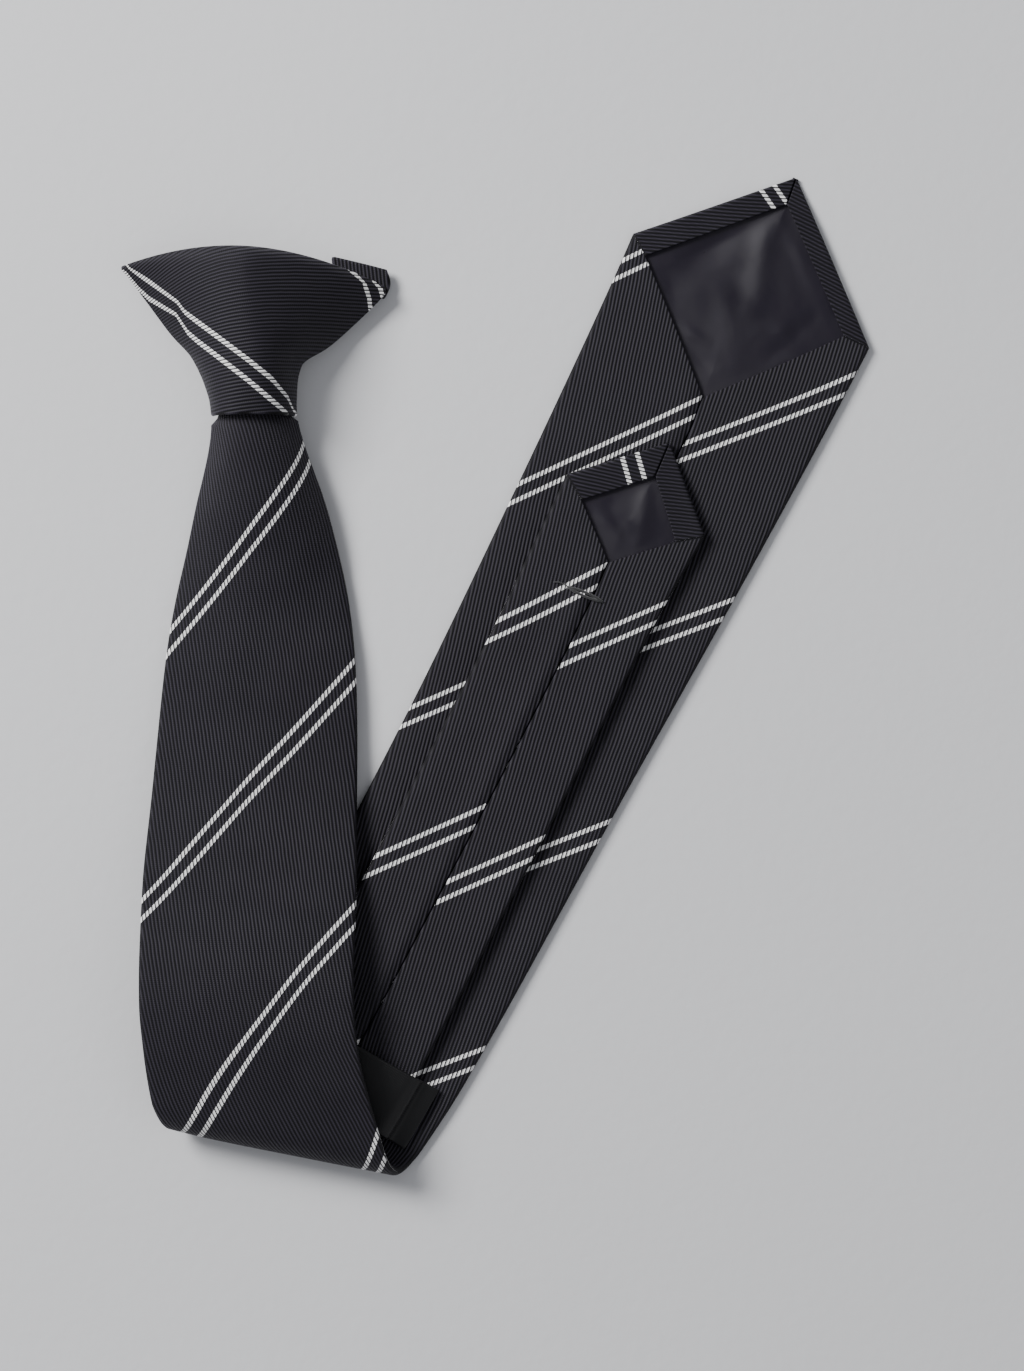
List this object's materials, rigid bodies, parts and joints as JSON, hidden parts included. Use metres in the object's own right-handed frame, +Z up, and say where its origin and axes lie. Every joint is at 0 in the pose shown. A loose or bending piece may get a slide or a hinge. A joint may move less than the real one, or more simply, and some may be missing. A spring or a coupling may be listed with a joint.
{
  "type": "clip-on necktie",
  "caption": "Pre-tied clip-on necktie lying folded over once: wrapped knot, broad pointed blade with a hemmed satin-lined tip, and a narrow tail held by a keeper band.",
  "frame": {"origin": "middle of the foot of the whole tie's box, on the surface that it lies on", "axes": "+Z up from that surface, +Y along the longest extent of the lying tie, from its fold towards the broad point and the knot, +X from the front leg towards the back leg"},
  "size_m": [0.2166, 0.2878, 0.0236],
  "materials": {
    "striped_cloth": "ribbed repp weave with a dull sheen and pairs of thin white stripes",
    "tipping_satin": "smooth satin",
    "keeper_satin": "black satin ribbon",
    "clip_plastic": "black moulded plastic"
  },
  "bodies": {
    "root": {"wide_blade": "striped_cloth", "tail_blade": "striped_cloth", "wide_tipping": "tipping_satin", "tail_tipping": "tipping_satin", "keeper_loop": "keeper_satin", "knot_wrap": "striped_cloth", "knot_back_fold": "striped_cloth", "collar_clip": "clip_plastic"}
  },
  "joints": []
}
